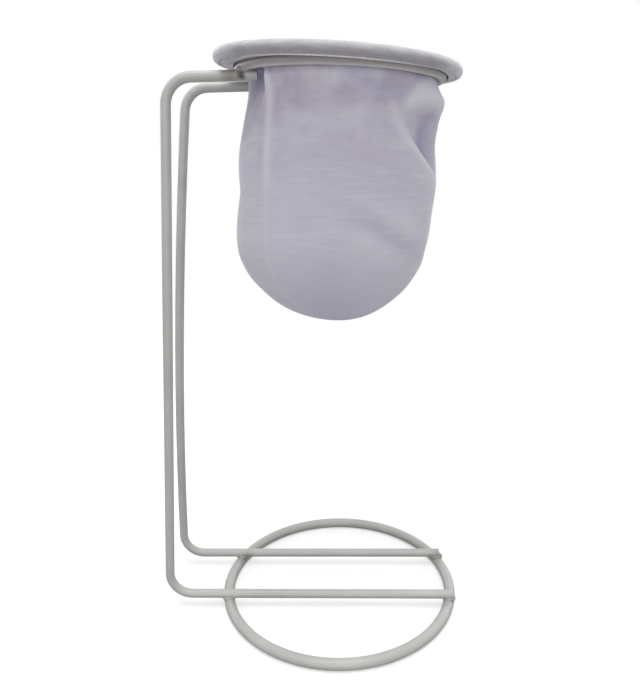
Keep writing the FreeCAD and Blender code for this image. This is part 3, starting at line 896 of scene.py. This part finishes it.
def bag_fabric(name):
    """Knit cotton: short uneven streaks of yarn, with painted shade, violet in the folds, and
    painted highlight, pale on the ridges.
    """
    n = Nodes(name)
    place = n.coordinates()
    streaks = n.noise(n.cloth_map((0.10, 0.85, 1)), 1.0, 4, 0.62)
    base = n.ramp(
        streaks,
        [
            (0.34, srgb(199, 196, 211)),
            (0.52, srgb(205, 202, 216)),
            (0.70, srgb(213, 211, 222)),
        ],
    )
    mottle = n.ramp(n.noise(place, 60, 3, 0.6), [(0.48, BLACK), (0.72, grey(0.4))])
    base = n.mix(mottle, base, srgb(202, 192, 212))
    patches = n.ramp(n.noise(place, 26, 3, 0.5), [(0.42, BLACK), (0.66, grey(0.5))])
    base = n.mix(patches, base, srgb(219, 218, 229))
    # the top is stained in flat blotches, some pinker and some cooler, but not on its ridges
    height = n.add("SeparateXYZ", {0: n.add("TexCoord").outputs["Object"]}).outputs["Z"]
    upper = n.between(height, STAIN_BOTTOM * MM, STAIN_TOP * MM)
    wide = n.coordinates((1, 1, 1.7))
    blotches = n.ramp(n.noise(wide, 50, 3, 0.55), [(0.40, grey(0.1)), (0.60, grey(0.95))])
    fold_shading = n.add("Attribute", attribute_name="fold_shading").outputs["Fac"]
    ridge = n.math("MULTIPLY", fold_shading, -0.45, clamp=True)
    stained = n.math("MULTIPLY", upper, n.math("SUBTRACT", 1.0, ridge))
    stain = n.math("MULTIPLY", stained, blotches, clamp=True)
    base = n.mix(stain, base, srgb(177, 164, 182))
    wide = n.coordinates((1, 1, 1.6))
    cool = n.ramp(n.noise(wide, 83, 2), [(0.50, BLACK), (0.68, grey(0.5))])
    base = n.mix(n.math("MULTIPLY", stained, cool), base, srgb(174, 168, 200))
    # the bottom is a little darker: painted shade, as it turns down away from the light above
    lower = n.between(height, DARK_TOP * MM, DARK_BOTTOM * MM)
    base = n.mix(n.math("MULTIPLY", lower, 0.45), base, srgb(186, 183, 201))
    # painted shade, darker and more violet deeper in the folds, and painted highlight, paler on
    # their ridges
    base = n.mix(n.math("MULTIPLY", fold_shading, 0.30, clamp=True), base, srgb(150, 142, 186))
    base = n.mix(ridge, base, srgb(228, 228, 234))
    # the sewn side is double cloth; the paler stripe along its seam is a painted highlight on the
    # seam's ridge
    around = n.add("SeparateXYZ", {0: n.add("UVMap", uv_map="cloth").outputs["UV"]})
    seam_at = (SEAM_ANGLE % 360) / 360 * GIRTH
    ring_height = RING_CENTRE[2] * MM
    lean_end = ring_height - SEAM_LEAN_END * BAG_DROP * MM
    lean = n.math("POWER", n.between(height, lean_end, ring_height), SEAM_LEAN_POWER)
    lean = n.math("MULTIPLY", lean, SEAM_LEAN / 360 * GIRTH)
    beside = n.math("SUBTRACT", n.math("ADD", around.outputs["X"], lean), seam_at)
    off_seam = n.math("ABSOLUTE", beside)
    stripe = n.between(off_seam, STRIPE_OUTSIDE, STRIPE_INSIDE)
    base = n.mix(n.math("MULTIPLY", stripe, 0.33), base, srgb(218, 219, 219))
    return fabric(n, base, knit(n, place, streaks))


# Millimetres along the cloth between which the hem goes from its painted shade below the hoop to
# its painted light over it
HEM_LOW = 1.7
HEM_HIGH = 6.7


def hem_fabric(name):
    """Knit cotton wrapped round the hoop, darker below as painted shade, and paler over its top
    and at its two ends as painted light.
    """
    n = Nodes(name)
    place = n.coordinates()
    streaks = n.noise(n.cloth_map((0.25, 0.9, 1)), 1.0, 4, 0.6)
    laid = n.add("SeparateXYZ", {0: n.add("UVMap", uv_map="cloth").outputs["UV"]})
    over = n.between(laid.outputs["Y"], HEM_LOW, HEM_HIGH)
    turned = n.math("COSINE", n.math("MULTIPLY", laid.outputs["X"], 2 * math.pi / GIRTH))
    ends = n.between(n.math("ABSOLUTE", turned), 0.72, 0.95)
    # painted light and shade round the hoop's wire: darker below the hoop, with a dark band, and
    # paler over its top
    base = n.ramp(
        over,
        [
            (0.0, srgb(186, 184, 188)),
            (0.34, srgb(174, 171, 176)),
            (0.48, srgb(180, 177, 182)),
            (0.61, srgb(168, 165, 170)),
            (0.73, srgb(175, 173, 178)),
            (0.80, srgb(186, 184, 188)),
            (0.88, srgb(198, 197, 200)),
            (1.0, srgb(207, 207, 208)),
        ],
    )
    # painted light: the hem's two ends made paler where their undersides lie in shade
    base = n.mix(n.math("MULTIPLY", ends, 0.85), base, srgb(230, 230, 232))
    uneven = n.ramp(streaks, [(0.32, srgb(232, 230, 234)), (0.68, WHITE)])
    base = n.mix(1.0, base, uneven, blend="MULTIPLY")
    return fabric(n, base, knit(n, place, streaks))


def binding_fabric(name):
    """The pale stitched edge of the hem, made paler still as painted light."""
    n = Nodes(name)
    place = n.coordinates()
    streaks = n.noise(place, 800, 3)
    base = n.ramp(streaks, [(0.3, srgb(218, 216, 220)), (0.7, srgb(234, 233, 235))])
    return fabric(n, base, n.bump(streaks, 0.0001, 0.5))


wire_paint = paint("wire_paint", srgb(189, 190, 186), srgb(178, 179, 175), 0.25)
weld_paint = paint("weld_paint", srgb(172, 172, 168), srgb(150, 149, 145), 0.6)
hoop_steel = steel("hoop_steel")
bag.data.materials[0] = hem_fabric("hem_cloth")
bag.data.materials[1] = bag_fabric("bag_cloth")
binding.data.materials.append(binding_fabric("binding_cloth"))

FINISHES = {
    "base_ring": wire_paint,
    "front_frame": wire_paint,
    "rear_frame": wire_paint,
    "top_ring": ring_paint("ring_paint"),
    "base_welds": weld_paint,
    "top_welds": weld_paint,
    "filter_hoop": hoop_steel,
}
for node, finish in FINISHES.items():
    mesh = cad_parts[node].data
    mesh.materials.clear()
    mesh.materials.append(finish)


# Floor, backdrop and light

# The floor in metres: half its width, and how far from the stand it fades to white
FLOOR_HALF = 3.0
FADE_START = 0.16
FADE_END = 0.55
FLOOR_SHADE = 0.55
FLOOR_LIFT = 0.55
FLOOR_BOUNCE = 0.41
WORLD_LIGHT = 0.37
# Round lamps: name, place in metres and power, all aimed at the middle of the stand
LAMP_SIZE = 0.7
MIDDLE = (0.0, 0.0, 0.11)
LAMPS = (
    ("top_softbox", (0.0, -0.12, 1.0), 6.2),
    ("front_softbox", (0.0, -0.9, 0.24), 2.75),
    ("left_softbox", (-0.85, -0.25, 0.35), 0.6),
    ("right_softbox", (0.85, -0.25, 0.35), 0.6),
    ("back_left_softbox", (-0.6, 0.7, 0.4), 1.6),
    ("back_right_softbox", (0.6, 0.7, 0.4), 2.0),
)


def make_floor():
    """A wide pale floor that keeps the shadow and fades to white away from the stand."""
    n = Nodes("floor_paint")
    place = n.add("TexCoord").outputs["Object"]
    away = n.add("VectorMath", {0: place}, operation="LENGTH").outputs["Value"]
    fade = n.between(away, FADE_START, FADE_END)
    seen = n.add("LightPath").outputs["Is Camera Ray"]
    lit = n.add("BsdfDiffuse", {"Color": grey(FLOOR_SHADE)}).outputs[0]
    glow = n.add("Emission", {"Color": WHITE, "Strength": 1.0}).outputs[0]
    lift = n.add("Emission", {"Color": WHITE, "Strength": FLOOR_LIFT}).outputs[0]
    near = n.add("AddShader", {0: lit, 1: lift}).outputs[0]
    shown = n.add("MixShader", {0: fade, 1: near, 2: glow}).outputs[0]
    bounce = n.add("BsdfDiffuse", {"Color": grey(FLOOR_BOUNCE)}).outputs[0]
    mixed = n.add("MixShader", {0: seen, 1: bounce, 2: shown}).outputs[0]
    half = FLOOR_HALF
    corners = [(-half, -half, 0), (half, -half, 0), (half, half, 0), (-half, half, 0)]
    floor = link_mesh("floor", corners, [(0, 1, 2, 3)])
    floor.data.materials.append(n.finish(mixed))


def make_world():
    """White where the camera, gloss or glass looks past the floor, softer as a light."""
    world = bpy.data.worlds.new("studio")
    bpy.context.scene.world = world
    world.use_nodes = True
    tree = world.node_tree
    tree.nodes.clear()
    output = tree.nodes.new("ShaderNodeOutputWorld")
    path = tree.nodes.new("ShaderNodeLightPath")
    seen = path.outputs["Is Camera Ray"]
    for kind in ("Is Glossy Ray", "Is Transmission Ray"):
        either = tree.nodes.new("ShaderNodeMath")
        either.operation = "MAXIMUM"
        tree.links.new(seen, either.inputs[0])
        tree.links.new(path.outputs[kind], either.inputs[1])
        seen = either.outputs[0]
    soft = tree.nodes.new("ShaderNodeBackground")
    soft.inputs["Strength"].default_value = WORLD_LIGHT
    white = tree.nodes.new("ShaderNodeBackground")
    for background in (soft, white):
        background.inputs["Color"].default_value = WHITE
    mix = tree.nodes.new("ShaderNodeMixShader")
    tree.links.new(seen, mix.inputs[0])
    tree.links.new(soft.outputs[0], mix.inputs[1])
    tree.links.new(white.outputs[0], mix.inputs[2])
    tree.links.new(mix.outputs[0], output.inputs["Surface"])


def softbox(name, place, power):
    """A round lamp aimed at the stand."""
    lamp = bpy.data.lights.new(name, "AREA")
    lamp.shape = "DISK"
    lamp.size = LAMP_SIZE
    lamp.energy = power
    light = bpy.data.objects.new(name, lamp)
    light.location = place
    toward = Vector(MIDDLE) - Vector(place)
    light.rotation_euler = toward.to_track_quat("-Z", "Y").to_euler()
    bpy.context.collection.objects.link(light)


make_floor()
make_world()
for name, place, power in LAMPS:
    softbox(name, place, power)

bpy.context.scene.view_settings.view_transform = "Standard"
